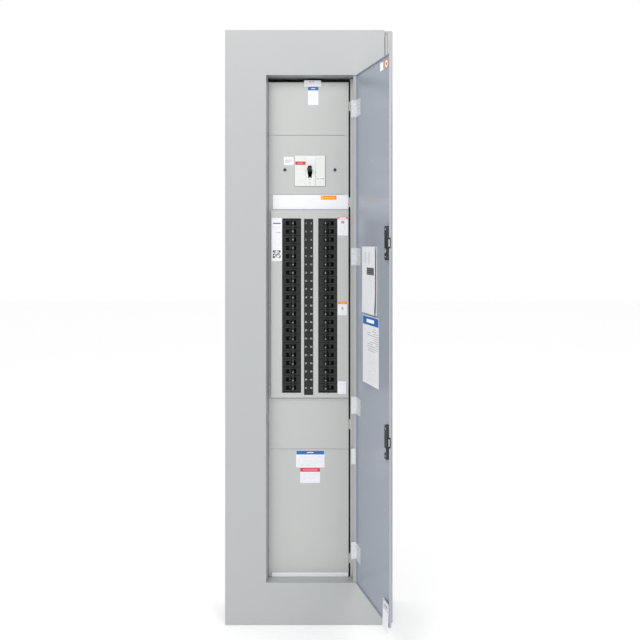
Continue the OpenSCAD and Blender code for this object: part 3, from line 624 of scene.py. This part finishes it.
def circuit_numbers():
    """Odd circuits down the left of the strip and even ones down the right."""
    x0, _, x1, _, face = front_box("circuit_number_strip")
    draft = Draft()
    entries = []
    for n in range(1, 8):
        for k in range(3):
            row = 3 * (n - 1) + k
            z = row_height(n, k)
            for column, share in ((1, 0.21), (2, 0.79)):
                x = x0 + share * (x1 - x0)
                entries.append(number(str(2 * row + column), x, z, CIRCUIT_DIGITS, face, PRINT_THICKNESS))
    add_numbers(draft, entries, digit_grey)
    draft.finish("circuit_numbers", "root")


def handle_markings(side, n):
    """A rating number on a small pad at the tip of each of a handle's three levers."""
    node = f"handle_{side}_{n}"
    pivot = Vector(joints[f"{side}_{n}_throw"]["pos_m"])
    points = [v.co for v in nodes[node].data.vertices]
    front = min(p.y for p in points)
    near = [p for p in points if p.y < front + 0.0005]
    tip = Vector((sum(p.x for p in near) / len(near), front, pivot.z))
    reach = max((Vector((p.x, p.y, 0)) - Vector((pivot.x, pivot.y, 0))).length for p in points)
    lean = math.atan2(tip.x - pivot.x, pivot.y - tip.y)
    turn = Matrix.Translation(pivot) @ Matrix.Rotation(lean, 4, "Z")
    draft = Draft()
    pad_w, pad_h = 0.0052, 0.0062
    entries = []
    for k in range(3):
        z = row_height(n, k) - pivot.z
        outline = rounded_outline(0, z, pad_w, pad_h, 0.0008, 3)
        draft.prism(outline, -reach + 0.0012, -reach - PAD_RISE, handle_black, bevel=0.0001)
        entries.append(number("20", 0, z, RATING_DIGITS, -reach - PAD_RISE, 0.0001))
    add_numbers(draft, entries, digit_grey)
    bmesh.ops.transform(draft.bm, matrix=turn, verts=draft.bm.verts[:])
    draft.finish(f"{node}_rating", node)


# ---------------------------------------------------------------- door

def door_face_y():
    """Depth of the back of the door's sheet with the door shut."""
    return shut_box("directory_frame")[0].y


def door_papers():
    low, high = shut_box("directory_frame")
    face = high.y
    hinge_x = joints["door_hinge"]["pos_m"][0] / MM
    inner = door_face_y()
    w = high.x - low.x

    def curl(u, v):
        """The sheet lifts towards its free edge and at its lower corners."""
        across = (w / 2 - u) / w
        down = max(0.0, -v / 0.0975)
        return 0.0004 + 0.0035 * across ** 2 + 0.003 * down ** 3 * (0.3 + across)

    panels = [(46, 144, 66, 178, ink_pale), (82, 144, 102, 178, ink_pale)]
    table = [(10, 112, 78, 133, ink_dark)] + [(12, 115 + 6 * i, 76, 116 + 6 * i, ink_grey) for i in range(3)]
    edge = 0.8
    sticker("circuit_directory", low.x / MM + edge, low.z / MM + edge, high.x / MM - edge,
            high.z / MM - edge, face, panels + table
            + text_lines(6, 56, 72, 106, 8, ink_pale, 51, fill=0.2, columns=18, weight=0.35),
            body="door", thickness=-0.0003, on_door=True, warp=curl)
    sticker("door_notice_sheet", hinge_x - 188.5, -153, hinge_x - 52.4, 45, inner,
            [(2, 172, 134, 196, ink_blue), (38, 179, 102, 189, print_white)]
            + text_lines(7, 96, 94, 166, 11, ink_grey, 52, columns=26, weight=0.38)
            + text_lines(7, 10, 94, 88, 12, ink_pale, 53, columns=26, weight=0.38),
            body="door", thickness=-0.0003, on_door=True)
    sticker("door_small_label", hinge_x - 223.5, 734, hinge_x - 200.5, 756, inner, [], base=print_white,
            body="door", thickness=-0.0002, on_door=True)
    draft = Draft()
    centre = ((hinge_x - 249.5) * MM, 0.745)
    rings = ((0.0156, 0.0002, ink_dark), (0.0146, 0.00028, ink_orange), (0.0118, 0.00036, ink_yellow),
             (0.0084, 0.00044, print_white), (0.0046, 0.00052, ink_red))
    for radius, level, ink in rings:
        draft.prism(round_outline(*centre, radius), inner + level, inner, ink)
    draft.finish("door_round_sticker", "door", on_door=True)


def door_tag():
    """Card that hangs below the door's edge, with a slight curl."""
    low, high = shut_box("door_tag")
    width, height = high.x - low.x, high.z - low.z + TAG_BELOW_CAD
    draft = Draft()
    frame_marks = ((2, 3.5, 40, 2, ink_dark), (2, 24, 3.5, 2, ink_dark), (38.5, 24, 40, 2, ink_dark),
                   (2, 24, 40, 22.5, ink_dark), (7, 18, 35, 9, ink_grey))
    marks = [(-width / 2 + a * MM, height / 2 - b * MM, -width / 2 + c * MM, height / 2 - d * MM, ink)
             for a, b, c, d, ink in frame_marks]
    marks += [(m[0] * MM, m[1] * MM, m[2] * MM, m[3] * MM, m[4])
              for m in text_lines(-19, -32, 19, 8, 9, ink_pale, 61, columns=14, weight=0.35)]
    draft.printed((low.x + high.x) / 2, high.z - height / 2, width, height, low.y, -(high.y - low.y),
                  card_white, marks, warp=lambda u, v: 0.0006 + 0.002 * (0.5 - v / height) ** 2)
    piece = draft.finish("hanging_tag", "door", on_door=True)
    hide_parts("door_tag")
    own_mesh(piece)


def latch_details(which):
    """Screws on the back of the latch, a washer that turns with the handle, and a ring round the cup."""
    low, high = shut_box(f"{which}_latch_housing")
    axis = DOOR_TURN.inverted() @ Vector(joints[f"{which}_latch_turn"]["pos_m"])
    middle = (low.z + high.z) / 2
    draft = Draft()
    for k in (-1, 1):
        screw_head(draft, axis.x, middle + k * 0.037, 0.0026, high.y, high.y + 0.0013, zinc)
    draft.finish(f"{which}_latch_screws", "door", on_door=True)
    back = shut_box(f"{which}_latch_handle")[1].y
    washer = Draft()
    slot = rounded_outline(axis.x, axis.z, 0.0018, 0.0076, 0.0008, 3)
    washer.prism(round_outline(axis.x, axis.z, 0.0068), back + 0.0008, back - 0.0001, zinc, holes=[slot],
                 bevel=0.0002)
    washer.finish(f"{which}_latch_washer", f"{which}_latch_handle", on_door=True)
    ring = Draft()
    front = shut_box("door_panel")[0].y
    ring.prism(round_outline(axis.x, axis.z, 0.0114, 48), front, front - 0.0008, zinc,
               holes=[round_outline(axis.x, axis.z, 0.0086, 48)], bevel=0.0002)
    ring.finish(f"{which}_latch_ring", "door", on_door=True)


main_breaker_face()
main_plate_details()
band_details()
top_plate_details()
branch_cover_labels()
bottom_plate_labels()
circuit_numbers()
for side in ("left", "right"):
    for n in range(1, 8):
        handle_markings(side, n)
door_papers()
door_tag()
for which in ("upper", "lower"):
    latch_details(which)

# ---------------------------------------------------------------- stage


def floor():
    """Pale floor with a faint glow, so that its far end is as light as the backdrop."""
    material = surface("floor", (0.9, 0.9, 0.9, 1), 0.6, mottle=0.01, mottle_scale=3, grain=0.05,
                       grain_scale=60)
    shader = material.node_tree.nodes["Principled BSDF"]
    shader.inputs["Emission Color"].default_value = (1, 1, 1, 1)
    shader.inputs["Emission Strength"].default_value = FLOOR_GLOW
    mesh = bpy.data.meshes.new("floor")
    z = cad_low[2] - FLOOR_CLEARANCE
    corners = [(x * FLOOR_HALF, y * FLOOR_HALF, z) for x, y in ((-1, -1), (1, -1), (1, 1), (-1, 1))]
    mesh.from_pydata(corners, [], [(0, 1, 2, 3)])
    mesh.materials.append(material)
    plane = bpy.data.objects.new("floor", mesh)
    bpy.context.scene.collection.objects.link(plane)


def area_light(name, place, target, size, watts):
    data = bpy.data.lights.new(name, "AREA")
    data.energy = watts
    data.size = size
    light = bpy.data.objects.new(name, data)
    light.location = place
    light.rotation_euler = (Vector(target) - Vector(place)).to_track_quat("-Z", "Y").to_euler()
    bpy.context.scene.collection.objects.link(light)


def studio():
    """Even white surroundings and two large soft lights in front."""
    world = bpy.data.worlds.new("studio")
    world.use_nodes = True
    world.node_tree.nodes["Background"].inputs["Color"].default_value = (1, 1, 1, 1)
    world.node_tree.nodes["Background"].inputs["Strength"].default_value = 1.0
    bpy.context.scene.world = world
    area_light("key", (-1.1, -2.9, 2.7), (0, 0, 0.6), 1.4, 43)
    area_light("side", (2.1, -3.1, 1.5), (-0.1, -0.14, 0.1), 2.0, 44)


floor()
studio()
